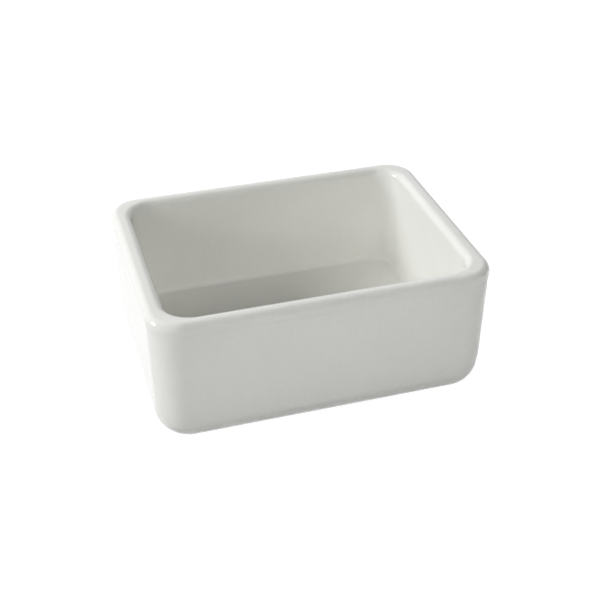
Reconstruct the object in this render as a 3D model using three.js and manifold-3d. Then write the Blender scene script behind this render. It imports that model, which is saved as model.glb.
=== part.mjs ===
// Farmhouse apron front sink with its basket strainer waste.
//
// One glazed fireclay casting carries everything: it is a deep rectangular bowl whose front wall
// is the apron. A basket strainer is clamped through the round outlet in its floor, and a lift-out
// basket with a push-down rubber stopper sits in the strainer.
//
// Millimetres, +Z up. The apron faces -Y. The origin is where the outlet's axis meets the plane of
// the underside, so the waste hangs below z = 0, through the opening that the cabinet leaves for it.

import * as THREE from 'three';
import { mergeVertices } from 'three/addons/utils/BufferGeometryUtils.js';
import Module from 'manifold-3d';

// ---------------------------------------------------------------- driving dimensions

// Overall size and walls of the casting.
const SINK_WIDTH = 606.4;
const SINK_DEPTH = 460.4;
const SINK_HEIGHT = 254;
const BASE_THICKNESS = 38; // underside to the floor at the outlet
const FLOOR_FALL = 14; // from the foot of the walls to the outlet
const FLOOR_DISH = 1.6; // power of the floor's curve; 1 is a straight fall
const OUTER_DRAFT = 4.5; // each side, from under the rim roll to the underside
const INNER_DRAFT = 5; // each side, from under the rim to the foot of the wall

// Rounded rim: a roll that stands a little proud of the apron below it.
const RIM_WIDTH = 28.5; // at the front and back
const SIDE_WIDENING = 6.5; // the side rims are wider by this
const RIM_OUTER_RADIUS = 14;
const RIM_INNER_RADIUS = 13.5;
const ROLL_HEIGHT = 19;
const ROLL_BLEND = 9;
const ROLL_PROJECTION = 1;

// Corners and edges of the casting.
const OUTER_CORNER_TOP = 55;
const OUTER_CORNER_BASE = 61;
const FOOT_RADIUS = 50;
const BOWL_CORNER_RADIUS = 48;
const COVE_RADIUS = 11.5;
const SMALLEST_CORNER = 2;

// Outlet: a recess for the strainer's flange, the hole, and a hollow under it for the lock nut.
const OUTLET_RADIUS = 45;
const RECESS_MARGIN = 2.5;
const RECESS_LIP_RADIUS = 2;
const HOLLOW_DEPTH = 14;
const HOLLOW_RADIUS = 75;
const HOLLOW_CHAMFER = 2;

// Fits.
const SEAT_GAP = 0.3; // between pieces that touch
const THREAD_GAP = 0.3; // between a thread's envelope and its nut
const OUTLET_CLEARANCE = 1.8; // strainer in the outlet
const SLIDE_CLEARANCE = 0.4; // post in its grommet

// Strainer body: a flanged cup with a tapered inside, a seat for the stopper and an outlet nipple.
const FLANGE_RADIUS = 57;
const FLANGE_THICKNESS = 1.6;
const FLANGE_EDGE = 0.7;
const FLANGE_BEVEL = 4;
const FLANGE_SEAL_THICKNESS = 1.6;
const CUP_WALL = 2.2;
const CUP_DEPTH = 55; // flange to stopper seat
const CUP_TAPER = 1.4; // the cup narrows this much on the radius
const MOUTH_RADIUS = 2.6; // rounding of the mouth
const LEDGE_DEPTH = 6.5; // flange to the ledge that the basket rests on
const LEDGE_WIDTH = 1.7;
const DISH_HEIGHT = 5;
const SEAT_RADIUS = 27;
const THROAT_RADIUS = 17.5;
const THROAT_ROUND = 1.2;
const DISH_WALL = 3.5;
const NIPPLE_RADIUS = 23.2;
const NIPPLE_LENGTH = 19;
const SPIDER_DROP = 7; // stopper seat to the top of the cross in the throat
const SPIDER_THICKNESS = 2.5;
const SPIDER_ARM_WIDTH = 3.2;
const SPIDER_HUB_RADIUS = 5.5;
const SPIDER_HUB_BORE = 3.4;
const SPIDER_ROOT = 1; // how far the arms run into the throat's wall

// Under the sink: rubber washer, fibre ring and lock nut.
const SINK_WASHER_WIDTH = 15;
const SINK_WASHER_THICKNESS = 3;
const FRICTION_RING_WIDTH = 13;
const FRICTION_RING_THICKNESS = 1;
const LOCK_NUT_WIDTH = 7.5;
const LOCK_NUT_HEIGHT = 10;
const LOCK_NUT_LUGS = 8;
const LOCK_NUT_LUG_REACH = 5;
const LOCK_NUT_LUG_SHARE = 0.36; // of one pitch

// Tailpiece, its washer and its coupling nut.
const TAIL_RADIUS = 19.05;
const TAIL_WALL = 1.3;
const TAIL_LENGTH = 101.6;
const TAIL_FLANGE_MARGIN = 0.8; // inside the nipple's radius
const TAIL_FLANGE_THICKNESS = 1.5;
const TAIL_WASHER_THICKNESS = 2;
const COUPLING_WALL = 3;
const COUPLING_GRIP = 8; // thread length on the nipple
const COUPLING_LIP = 2;
const COUPLING_RIBS = 6;
const COUPLING_RIB_REACH = 2.5;
const COUPLING_RIB_SHARE = 0.3;

// Basket: a perforated cup with a turned-out rim.
const SHEET = 1;
const BASKET_RIM_CLEARANCE = 0.5; // in the strainer's mouth
const BASKET_WALL_CLEARANCE = 0.8; // inside the ledge
const BASKET_TAPER = 3.4;
const BASKET_FOOT_RADIUS = 6;
const HOLE_RADIUS = 2;
const HOLE_SIDES = 6;
const BASE_HOLE_RINGS = 3;
const FIRST_HOLE_RING_RADIUS = 14;
const HOLE_RING_STEP = 6.5;
const HOLE_PITCH = 8.4; // least distance between holes round a ring
const WALL_HOLE_ROWS = 2;
const WALL_ROW_HOLES = 18;
const FIRST_WALL_ROW_HEIGHT = 11; // above the basket's base
const WALL_ROW_STEP = 8.5;

// Grommet that holds the post in the basket's base.
const GROMMET_HOLE_RADIUS = 5.6;
const GROMMET_FLANGE_RADIUS = 8.2;
const GROMMET_FLANGE_THICKNESS = 1.4;

// Stopper: a rubber disc under a steel plate, clamped on the post by a nut.
const STOPPER_TRAVEL = 8;
const STOPPER_OVERLAP = 7; // the disc laps the throat by this much
const STOPPER_THICKNESS = 4.5;
const STOPPER_STEP = 1.6;
const PLATE_RADIUS = 19;
const PLATE_THICKNESS = 1;
const PLATE_RIM_DROP = 1;
const STOPPER_NUT_RADIUS = 5;
const STOPPER_NUT_HEIGHT = 3;
const STOPPER_NUT_SIDES = 6;

// Post and its knob.
const POST_RADIUS = 3;
const POST_THREAD_RADIUS = 2.5;
const POST_SHOULDER_RADIUS = 5;
const POST_SHOULDER_HEIGHT = 1.5;
const POST_STUB = 1; // below the nut
const KNOB_HEIGHT = 16;
const KNOB_HEAD_RADIUS = 9;
const KNOB_NECK_RADIUS = 4.8;
const KNOB_HEAD_HEIGHT = 6;
const KNOB_BORE_DEPTH = 9;
const KNOB_BELOW_FLOOR = 1;

// Facets.
const CORNER_STEPS = 8;
const SIDE_STEPS = 1;
const FRONT_STEPS = 2;
const FOOT_STEPS = 8;
const RIM_STEPS = 6;
const ROLL_STEPS = 4;
const COVE_STEPS = 6;
const LIP_STEPS = 3;
const FLOOR_RINGS = 5;
const LARGE_ROUND = 40;
const PIPE_ROUND = 32;
const SMALL_ROUND = 20;

// ---------------------------------------------------------------- heights that everything shares

const floorZ = BASE_THICKNESS;
const wallFootZ = floorZ + FLOOR_FALL;
const recessDepth = FLANGE_SEAL_THICKNESS + FLANGE_THICKNESS + 2 * SEAT_GAP;
const recessZ = floorZ - recessDepth;
const recessRadius = FLANGE_RADIUS + RECESS_MARGIN;
const flangeZ = floorZ - FLANGE_THICKNESS;
const stopperSeatZ = floorZ - CUP_DEPTH;
const ledgeZ = floorZ - LEDGE_DEPTH;

const threadRadius = OUTLET_RADIUS - OUTLET_CLEARANCE;
const mouthInnerRadius = threadRadius - CUP_WALL;
const ledgeInnerRadius = mouthInnerRadius - LEDGE_WIDTH;
const cupFootRadius = ledgeInnerRadius - CUP_TAPER;
const nippleTopZ = stopperSeatZ - DISH_WALL;
const nippleEndZ = nippleTopZ - NIPPLE_LENGTH;

const stopperZ = stopperSeatZ + SEAT_GAP;
const plateZ = stopperZ + STOPPER_THICKNESS + SEAT_GAP;
const shoulderZ = plateZ + PLATE_THICKNESS + SEAT_GAP;
const stopperTopZ = shoulderZ + POST_SHOULDER_HEIGHT;
const grommetZ = stopperTopZ + STOPPER_TRAVEL + SEAT_GAP;
const basketZ = grommetZ + GROMMET_FLANGE_THICKNESS + SEAT_GAP;
const basketRimZ = ledgeZ + SEAT_GAP;
const knobTopZ = floorZ - KNOB_BELOW_FLOOR;
const knobZ = knobTopZ - KNOB_HEIGHT;

// ---------------------------------------------------------------- materials

const MATERIALS = {
  fireclay: { color: 0xf1f0ea, roughness: 0.12, metalness: 0 },
  steel: { color: 0xc9cacb, roughness: 0.28, metalness: 1 },
  chrome: { color: 0xdadcde, roughness: 0.12, metalness: 1 },
  brass: { color: 0xb79a5b, roughness: 0.4, metalness: 1 },
  rubber: { color: 0x262626, roughness: 0.85, metalness: 0 },
  fibre: { color: 0x9c4a35, roughness: 0.9, metalness: 0 },
  polythene: { color: 0xe6e7e2, roughness: 0.5, metalness: 0 },
};

const sink = new THREE.Group();

/** Adds one piece to the sink, in its own material. */
function addPiece(name, geometry, material) {
  const piece = new THREE.Mesh(geometry, new THREE.MeshStandardMaterial(MATERIALS[material]));
  piece.name = name;
  sink.add(piece);
}

// ---------------------------------------------------------------- shaping tools

const wasm = await Module();
wasm.setup();

/** A closed geometry as a solid, with its shared vertices merged. */
function toSolid(geometry) {
  const bare = geometry.clone();
  bare.deleteAttribute('normal');
  bare.deleteAttribute('uv');
  const merged = mergeVertices(bare);
  return new wasm.Manifold(
    new wasm.Mesh({
      numProp: 3,
      vertProperties: new Float32Array(merged.attributes.position.array),
      triVerts: new Uint32Array(merged.index.array),
    }),
  );
}

/** The solid's surface as a geometry. */
function toGeometry(solid) {
  const mesh = solid.getMesh();
  const geometry = new THREE.BufferGeometry();
  geometry.setAttribute('position', new THREE.BufferAttribute(mesh.vertProperties, 3));
  geometry.setIndex(new THREE.BufferAttribute(mesh.triVerts, 1));
  return geometry;
}

/** Points on an arc in the (radius, height) plane, both ends included, angles in degrees. */
function arc(centreR, centreZ, radius, startDeg, endDeg, steps) {
  const points = [];
  for (let step = 0; step <= steps; step += 1) {
    const angle = THREE.MathUtils.degToRad(startDeg + ((endDeg - startDeg) * step) / steps);
    points.push([centreR + radius * Math.cos(angle), centreZ + radius * Math.sin(angle)]);
  }
  return points;
}

/** Points round the inner edge of a bore, from the face at topZ down into the bore's wall. */
function mouthArc(boreRadius, topZ, rounding) {
  return arc(boreRadius + rounding, topZ - rounding, rounding, 90, 180, LIP_STEPS);
}

/** Turns a closed (radius, height) outline, listed anticlockwise, about the Z axis. */
function turn(outline, segments) {
  const points = [...outline, outline[0]].map(([radius, height]) => new THREE.Vector2(radius, height));
  return new THREE.LatheGeometry(points, segments).rotateX(Math.PI / 2);
}

/** A plain washer standing on z. */
function washer(innerRadius, outerRadius, z, thickness, segments) {
  const outline = [
    [innerRadius, z],
    [outerRadius, z],
    [outerRadius, z + thickness],
    [innerRadius, z + thickness],
  ];
  return turn(outline, segments);
}

/** A solid cylinder about Z, its middle at centreZ. */
function upright(radius, height, centreZ, segments) {
  const cylinder = new THREE.CylinderGeometry(radius, radius, height, segments);
  return toSolid(cylinder.rotateX(Math.PI / 2).translate(0, 0, centreZ));
}

/** A flat outline extruded upward from z. */
function prism(shape, z, height, curveSegments) {
  const options = { depth: height, bevelEnabled: false, curveSegments };
  return new THREE.ExtrudeGeometry(shape, options).translate(0, 0, z);
}

/** A round outline with equal square lugs. */
function luggedOutline(bodyRadius, lugReach, lugs, lugShare) {
  const shape = new THREE.Shape();
  const lugRadius = bodyRadius + lugReach;
  const pitch = (2 * Math.PI) / lugs;
  for (let lug = 0; lug < lugs; lug += 1) {
    const start = lug * pitch;
    const lugEnd = start + pitch * lugShare;
    shape.absarc(0, 0, lugRadius, start, lugEnd, false);
    shape.absarc(0, 0, bodyRadius, lugEnd, start + pitch, false);
  }
  shape.closePath();
  return shape;
}

// ---------------------------------------------------------------- rings of the casting

const QUADRANT_STEPS = SIDE_STEPS + CORNER_STEPS + FRONT_STEPS;

/** A whole ring from the points of its first quadrant, which runs from the X axis to the Y axis. */
function mirrorQuadrant(quadrant, z) {
  const forward = quadrant.slice(0, -1);
  const backward = quadrant.slice(1).reverse();
  return [
    ...forward.map(([x, y]) => new THREE.Vector3(x, y, z)),
    ...backward.map(([x, y]) => new THREE.Vector3(-x, y, z)),
    ...forward.map(([x, y]) => new THREE.Vector3(-x, -y, z)),
    ...backward.map(([x, y]) => new THREE.Vector3(x, -y, z)),
  ];
}

/** A rectangle with round corners, set in from the sink's overall size, and further at the sides. */
function sinkRing(inset, cornerRadius, z, widening = 0) {
  const halfWidth = SINK_WIDTH / 2 - inset - widening;
  const halfDepth = SINK_DEPTH / 2 - inset;
  const radius = Math.max(cornerRadius, SMALLEST_CORNER);
  const cornerX = halfWidth - radius;
  const cornerY = halfDepth - radius;
  const quadrant = [];
  for (let step = 0; step < SIDE_STEPS; step += 1) {
    quadrant.push([halfWidth, (cornerY * step) / SIDE_STEPS]);
  }
  for (let step = 0; step <= CORNER_STEPS; step += 1) {
    const angle = (Math.PI / 2) * (step / CORNER_STEPS);
    quadrant.push([cornerX + radius * Math.cos(angle), cornerY + radius * Math.sin(angle)]);
  }
  for (let step = FRONT_STEPS - 1; step >= 0; step -= 1) {
    quadrant.push([(cornerX * step) / FRONT_STEPS, halfDepth]);
  }
  return mirrorQuadrant(quadrant, z);
}

/** A circle about the outlet, with as many points as a sink ring. */
function outletRing(radius, z) {
  const quadrant = [];
  for (let step = 0; step <= QUADRANT_STEPS; step += 1) {
    const angle = (Math.PI / 2) * (step / QUADRANT_STEPS);
    quadrant.push([radius * Math.cos(angle), radius * Math.sin(angle)]);
  }
  return mirrorQuadrant(quadrant, z);
}

/** The ring that lies a share of the way from one ring to another. */
function ringBetween(from, to, share) {
  return from.map((point, index) => point.clone().lerp(to[index], share));
}

/** Skins a loop of rings, the last joined back to the first. */
function skinLoop(rings) {
  const count = rings[0].length;
  const positions = rings.flat().flatMap((point) => [point.x, point.y, point.z]);
  const index = [];
  rings.forEach((ring, ringNumber) => {
    const here = ringNumber * count;
    const next = ((ringNumber + 1) % rings.length) * count;
    ring.forEach((point, pointNumber) => {
      const beside = (pointNumber + 1) % count;
      index.push(here + pointNumber, here + beside, next + beside);
      index.push(here + pointNumber, next + beside, next + pointNumber);
    });
  });
  const geometry = new THREE.BufferGeometry();
  geometry.setAttribute('position', new THREE.Float32BufferAttribute(positions, 3));
  geometry.setIndex(index);
  return geometry;
}

// ---------------------------------------------------------------- the fireclay casting

/** Plan corner radius of the casting's outside at a height. */
function outerCorner(z) {
  return THREE.MathUtils.lerp(OUTER_CORNER_BASE, OUTER_CORNER_TOP, z / SINK_HEIGHT);
}

/** Inset of the outer wall at a height, below the rim roll. */
function apronInset(z) {
  const wallTop = SINK_HEIGHT - ROLL_HEIGHT - ROLL_BLEND;
  return ROLL_PROJECTION + (OUTER_DRAFT * (wallTop - z)) / wallTop;
}

/** Hole, hollow and flat underside, outward to the foot. */
function undersideRings() {
  return [
    outletRing(OUTLET_RADIUS, recessZ),
    outletRing(OUTLET_RADIUS, HOLLOW_DEPTH),
    outletRing(HOLLOW_RADIUS, HOLLOW_DEPTH),
    outletRing(HOLLOW_RADIUS, HOLLOW_CHAMFER),
    outletRing(HOLLOW_RADIUS + HOLLOW_CHAMFER, 0),
  ];
}

/** Rounded foot, drafted wall and the blend out to the rim roll. */
function outsideRings() {
  const rings = [];
  for (let step = 0; step <= FOOT_STEPS; step += 1) {
    const angle = (Math.PI / 2) * (step / FOOT_STEPS);
    const z = FOOT_RADIUS * (1 - Math.cos(angle));
    const set = FOOT_RADIUS * (1 - Math.sin(angle));
    rings.push(sinkRing(apronInset(z) + set, outerCorner(z) - set, z));
  }
  const blendStart = SINK_HEIGHT - ROLL_HEIGHT - ROLL_BLEND;
  for (let step = 0; step <= ROLL_STEPS; step += 1) {
    const share = step / ROLL_STEPS;
    const z = blendStart + ROLL_BLEND * share;
    const inset = ROLL_PROJECTION * (1 - THREE.MathUtils.smoothstep(share, 0, 1));
    rings.push(sinkRing(inset, outerCorner(z) - inset, z));
  }
  return rings;
}

/** A ring of the bowl's inside. */
function bowlRing(inset, cornerRadius, z) {
  return sinkRing(inset, cornerRadius, z, SIDE_WIDENING);
}

/** Rim: an outer and an inner rounding with a flat between them, which is broader at the sides. */
function rimRings() {
  const rings = [];
  for (let step = 0; step <= RIM_STEPS; step += 1) {
    const angle = (Math.PI / 2) * (step / RIM_STEPS);
    const inset = RIM_OUTER_RADIUS * (1 - Math.cos(angle));
    const z = SINK_HEIGHT - RIM_OUTER_RADIUS * (1 - Math.sin(angle));
    rings.push(sinkRing(inset, OUTER_CORNER_TOP - inset, z));
  }
  for (let step = 0; step <= RIM_STEPS; step += 1) {
    const angle = (Math.PI / 2) * (step / RIM_STEPS);
    const set = RIM_INNER_RADIUS * (1 - Math.sin(angle));
    const z = SINK_HEIGHT - RIM_INNER_RADIUS * (1 - Math.cos(angle));
    rings.push(bowlRing(RIM_WIDTH - set, BOWL_CORNER_RADIUS + set, z));
  }
  return rings;
}

/** Drafted inner wall, the cove at its foot and the dished floor that falls to the outlet. */
function bowlRings() {
  const rings = [];
  const wallInset = RIM_WIDTH + INNER_DRAFT;
  for (let step = 0; step <= COVE_STEPS; step += 1) {
    const angle = (Math.PI / 2) * (step / COVE_STEPS);
    const inset = COVE_RADIUS * (1 - Math.cos(angle));
    const z = wallFootZ + COVE_RADIUS * (1 - Math.sin(angle));
    rings.push(bowlRing(wallInset + inset, BOWL_CORNER_RADIUS - inset, z));
  }
  const floorEdge = rings[rings.length - 1];
  const lip = mouthArc(recessRadius, floorZ, RECESS_LIP_RADIUS);
  const lipRings = lip.map(([radius, z]) => outletRing(radius, z));
  for (let ring = 1; ring < FLOOR_RINGS; ring += 1) {
    const share = ring / FLOOR_RINGS;
    const z = floorZ + FLOOR_FALL * (1 - share) ** FLOOR_DISH;
    rings.push(ringBetween(floorEdge, lipRings[0], share).map((point) => point.setZ(z)));
  }
  return [...rings, ...lipRings, outletRing(recessRadius, recessZ)];
}

const castingRings = [...undersideRings(), ...outsideRings(), ...rimRings(), ...bowlRings()];
addPiece('sink_body', skinLoop(castingRings), 'fireclay');

// ---------------------------------------------------------------- strainer, clamped in the outlet

/** Ring of sealing rubber between the flange and the recess. */
function flangeSeal() {
  const inner = OUTLET_RADIUS + SEAT_GAP;
  return washer(inner, FLANGE_RADIUS - SEAT_GAP, recessZ + SEAT_GAP, FLANGE_SEAL_THICKNESS, LARGE_ROUND);
}

/** Cross with a bored hub, which spans the strainer's throat. */
function spiderSolid() {
  const topZ = stopperSeatZ - SPIDER_DROP;
  const armLength = 2 * (THROAT_RADIUS + SPIDER_ROOT);
  const along = new THREE.BoxGeometry(armLength, SPIDER_ARM_WIDTH, SPIDER_THICKNESS);
  const across = new THREE.BoxGeometry(SPIDER_ARM_WIDTH, armLength, SPIDER_THICKNESS);
  const centreZ = topZ - SPIDER_THICKNESS / 2;
  const hub = upright(SPIDER_HUB_RADIUS, SPIDER_THICKNESS, centreZ, SMALL_ROUND);
  const bore = upright(SPIDER_HUB_BORE, 2 * SPIDER_THICKNESS, centreZ, SMALL_ROUND);
  const [alongArm, acrossArm] = [along, across].map((arm) => toSolid(arm.translate(0, 0, centreZ)));
  return alongArm.add(acrossArm).add(hub).subtract(bore);
}

/** Flanged cup with the ledge for the basket, the stopper's seat, the spider and the nipple. */
function strainerBody() {
  const outline = [
    [THROAT_RADIUS, nippleEndZ],
    [NIPPLE_RADIUS, nippleEndZ],
    [NIPPLE_RADIUS, nippleTopZ],
    [cupFootRadius, nippleTopZ + DISH_HEIGHT / 2],
    [threadRadius, nippleTopZ + DISH_HEIGHT],
    [threadRadius, flangeZ],
    [FLANGE_RADIUS, flangeZ],
    [FLANGE_RADIUS, flangeZ + FLANGE_EDGE],
    [FLANGE_RADIUS - FLANGE_BEVEL, floorZ],
    ...mouthArc(mouthInnerRadius, floorZ, MOUTH_RADIUS),
    [mouthInnerRadius, ledgeZ],
    [ledgeInnerRadius, ledgeZ],
    [cupFootRadius, stopperSeatZ + DISH_HEIGHT],
    [SEAT_RADIUS, stopperSeatZ],
    ...mouthArc(THROAT_RADIUS, stopperSeatZ, THROAT_ROUND),
  ];
  const cup = toSolid(turn(outline, LARGE_ROUND));
  return toGeometry(cup.add(spiderSolid()));
}

addPiece('flange_seal', flangeSeal(), 'rubber');
addPiece('strainer_body', strainerBody(), 'steel');

// Rubber washer, fibre ring and lock nut pull the flange down on its seal from under the sink.
const nutBore = threadRadius + THREAD_GAP;
const sinkWasherZ = HOLLOW_DEPTH - SEAT_GAP - SINK_WASHER_THICKNESS;
const frictionRingZ = sinkWasherZ - SEAT_GAP - FRICTION_RING_THICKNESS;
const lockNutZ = frictionRingZ - SEAT_GAP - LOCK_NUT_HEIGHT;

/** Broad nut with square lugs for a spanner. */
function lockNut() {
  const bodyRadius = nutBore + LOCK_NUT_WIDTH;
  const outline = luggedOutline(bodyRadius, LOCK_NUT_LUG_REACH, LOCK_NUT_LUGS, LOCK_NUT_LUG_SHARE);
  const body = toSolid(prism(outline, lockNutZ, LOCK_NUT_HEIGHT, LIP_STEPS));
  const bore = upright(nutBore, 2 * LOCK_NUT_HEIGHT, lockNutZ + LOCK_NUT_HEIGHT / 2, LARGE_ROUND);
  return toGeometry(body.subtract(bore));
}

addPiece(
  'sink_washer',
  washer(nutBore, nutBore + SINK_WASHER_WIDTH, sinkWasherZ, SINK_WASHER_THICKNESS, LARGE_ROUND),
  'rubber',
);
addPiece(
  'friction_ring',
  washer(nutBore, nutBore + FRICTION_RING_WIDTH, frictionRingZ, FRICTION_RING_THICKNESS, LARGE_ROUND),
  'fibre',
);
addPiece('lock_nut', lockNut(), 'brass');

// ---------------------------------------------------------------- tailpiece on the nipple

const tailFlangeRadius = NIPPLE_RADIUS - TAIL_FLANGE_MARGIN;
const tailBore = TAIL_RADIUS - TAIL_WALL;
const tailWasherZ = nippleEndZ - SEAT_GAP - TAIL_WASHER_THICKNESS;
const tailTopZ = tailWasherZ - SEAT_GAP;
const tailEndZ = tailTopZ - TAIL_LENGTH;

/** Straight tube with a turned-out flange at its top. */
function tailpiece() {
  const outline = [
    [tailBore, tailEndZ],
    [TAIL_RADIUS, tailEndZ],
    [TAIL_RADIUS, tailTopZ - TAIL_FLANGE_THICKNESS],
    [tailFlangeRadius, tailTopZ - TAIL_FLANGE_THICKNESS],
    [tailFlangeRadius, tailTopZ],
    [tailBore, tailTopZ],
  ];
  return turn(outline, PIPE_ROUND);
}

/** Ribbed nut: its lip lifts the tailpiece's flange against the nipple. */
function couplingNut() {
  const bore = NIPPLE_RADIUS + THREAD_GAP;
  const bodyRadius = bore + COUPLING_WALL;
  const lipTopZ = tailTopZ - TAIL_FLANGE_THICKNESS - SEAT_GAP;
  const bottomZ = lipTopZ - COUPLING_LIP;
  const topZ = nippleEndZ + COUPLING_GRIP;
  const outline = luggedOutline(bodyRadius, COUPLING_RIB_REACH, COUPLING_RIBS, COUPLING_RIB_SHARE);
  const body = toSolid(prism(outline, bottomZ, topZ - bottomZ, LIP_STEPS));
  const cutTopZ = topZ + COUPLING_LIP;
  const thread = upright(bore, cutTopZ - lipTopZ, (cutTopZ + lipTopZ) / 2, PIPE_ROUND);
  const tubeCentreZ = lipTopZ - COUPLING_LIP / 2;
  const tubeHole = upright(TAIL_RADIUS + THREAD_GAP, 4 * COUPLING_LIP, tubeCentreZ, PIPE_ROUND);
  return toGeometry(body.subtract(thread).subtract(tubeHole));
}

addPiece(
  'tailpiece_washer',
  washer(tailBore, tailFlangeRadius, tailWasherZ, TAIL_WASHER_THICKNESS, PIPE_ROUND),
  'polythene',
);
addPiece('tailpiece', tailpiece(), 'chrome');
addPiece('coupling_nut', couplingNut(), 'chrome');

// ---------------------------------------------------------------- lift-out basket

const basketWallTop = ledgeInnerRadius - BASKET_WALL_CLEARANCE;
const basketFoot = basketWallTop - BASKET_TAPER;
const basketRimRadius = mouthInnerRadius - BASKET_RIM_CLEARANCE;

/** Cup of sheet metal before it is pierced. */
function basketBlank() {
  const bendRadius = basketFoot - BASKET_FOOT_RADIUS;
  const bendZ = basketZ + BASKET_FOOT_RADIUS;
  const outline = [
    [GROMMET_HOLE_RADIUS, basketZ],
    ...arc(bendRadius, bendZ, BASKET_FOOT_RADIUS, -90, 0, LIP_STEPS),
    [basketWallTop, basketRimZ],
    [basketRimRadius, basketRimZ],
    [basketRimRadius, basketRimZ + SHEET],
    [basketWallTop - SHEET, basketRimZ + SHEET],
    ...arc(bendRadius, bendZ, BASKET_FOOT_RADIUS - SHEET, 0, -90, LIP_STEPS),
    [GROMMET_HOLE_RADIUS, basketZ + SHEET],
  ];
  return toSolid(turn(outline, LARGE_ROUND));
}

/** Punches for the rings of holes in the base and the staggered rows in the wall. */
function basketPunches() {
  const punches = [];
  for (let ring = 0; ring < BASE_HOLE_RINGS; ring += 1) {
    const ringRadius = FIRST_HOLE_RING_RADIUS + ring * HOLE_RING_STEP;
    const holes = Math.floor((2 * Math.PI * ringRadius) / HOLE_PITCH);
    for (let hole = 0; hole < holes; hole += 1) {
      const angle = (2 * Math.PI * (hole + ring / 2)) / holes;
      const punch = new THREE.CylinderGeometry(HOLE_RADIUS, HOLE_RADIUS, 4 * SHEET, HOLE_SIDES);
      punch.rotateX(Math.PI / 2);
      punch.translate(ringRadius * Math.cos(angle), ringRadius * Math.sin(angle), basketZ + SHEET / 2);
      punches.push(punch);
    }
  }
  const wallPunchLength = BASKET_TAPER + 4 * SHEET;
  for (let row = 0; row < WALL_HOLE_ROWS; row += 1) {
    for (let hole = 0; hole < WALL_ROW_HOLES; hole += 1) {
      const punch = new THREE.CylinderGeometry(HOLE_RADIUS, HOLE_RADIUS, wallPunchLength, HOLE_SIDES);
      punch.translate(0, basketWallTop - BASKET_TAPER / 2, 0);
      punch.rotateZ((2 * Math.PI * (hole + row / 2)) / WALL_ROW_HOLES);
      punch.translate(0, 0, basketZ + FIRST_WALL_ROW_HEIGHT + row * WALL_ROW_STEP);
      punches.push(punch);
    }
  }
  return punches.map(toSolid);
}

/** Perforated basket. */
function basketCup() {
  return toGeometry(basketPunches().reduce((cup, punch) => cup.subtract(punch), basketBlank()));
}

/** Rubber grommet clipped into the basket's base. */
function postGrommet() {
  const bore = POST_RADIUS + SLIDE_CLEARANCE;
  const waist = GROMMET_HOLE_RADIUS - SEAT_GAP;
  const lowerTop = basketZ - SEAT_GAP;
  const upperZ = basketZ + SHEET + SEAT_GAP;
  const outline = [
    [bore, grommetZ],
    [GROMMET_FLANGE_RADIUS, grommetZ],
    [GROMMET_FLANGE_RADIUS, lowerTop],
    [waist, lowerTop],
    [waist, upperZ],
    [GROMMET_FLANGE_RADIUS, upperZ],
    [GROMMET_FLANGE_RADIUS - GROMMET_FLANGE_THICKNESS / 2, upperZ + GROMMET_FLANGE_THICKNESS],
    [bore, upperZ + GROMMET_FLANGE_THICKNESS],
  ];
  return turn(outline, SMALL_ROUND);
}

addPiece('basket_cup', basketCup(), 'steel');
addPiece('post_grommet', postGrommet(), 'rubber');

// ---------------------------------------------------------------- stopper, post and knob

const clampBore = POST_THREAD_RADIUS + SEAT_GAP;
const stopperRadius = THROAT_RADIUS + STOPPER_OVERLAP;
const postBottomZ = stopperZ - SEAT_GAP - STOPPER_NUT_HEIGHT - POST_STUB;

/** Rubber disc with a thin sealing lip round its foot. */
function stopperDisc() {
  const outline = [
    [clampBore, stopperZ],
    [stopperRadius, stopperZ],
    [stopperRadius - STOPPER_STEP / 2, stopperZ + STOPPER_STEP],
    [stopperRadius - 2 * STOPPER_STEP, stopperZ + STOPPER_THICKNESS],
    [clampBore, stopperZ + STOPPER_THICKNESS],
  ];
  return turn(outline, LARGE_ROUND);
}

/** Pressed plate that backs the disc. */
function stopperPlate() {
  const outline = [
    [clampBore, plateZ],
    [PLATE_RADIUS, plateZ],
    [PLATE_RADIUS, plateZ + PLATE_THICKNESS / 2],
    [PLATE_RADIUS - PLATE_RIM_DROP, plateZ + PLATE_THICKNESS],
    [clampBore, plateZ + PLATE_THICKNESS],
  ];
  return turn(outline, PIPE_ROUND);
}

/** Small hexagon nut under the disc. */
function stopperNut() {
  const centreZ = stopperZ - SEAT_GAP - STOPPER_NUT_HEIGHT / 2;
  const hexagon = upright(STOPPER_NUT_RADIUS, STOPPER_NUT_HEIGHT, centreZ, STOPPER_NUT_SIDES);
  return toGeometry(hexagon.subtract(upright(clampBore, 2 * STOPPER_NUT_HEIGHT, centreZ, SMALL_ROUND)));
}

/** Turned post: threaded foot, shoulder on the plate, plain shank and a spigot in the knob. */
function stopperPost() {
  const spigotZ = knobZ - SEAT_GAP;
  const outline = [
    [0, postBottomZ],
    [POST_THREAD_RADIUS, postBottomZ],
    [POST_THREAD_RADIUS, shoulderZ],
    [POST_SHOULDER_RADIUS, shoulderZ],
    [POST_SHOULDER_RADIUS, stopperTopZ],
    [POST_RADIUS, stopperTopZ],
    [POST_RADIUS, spigotZ],
    [POST_THREAD_RADIUS, spigotZ],
    [POST_THREAD_RADIUS, knobZ + KNOB_BORE_DEPTH - 2 * SEAT_GAP],
    [0, knobZ + KNOB_BORE_DEPTH - 2 * SEAT_GAP],
  ];
  return turn(outline, SMALL_ROUND);
}

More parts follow.
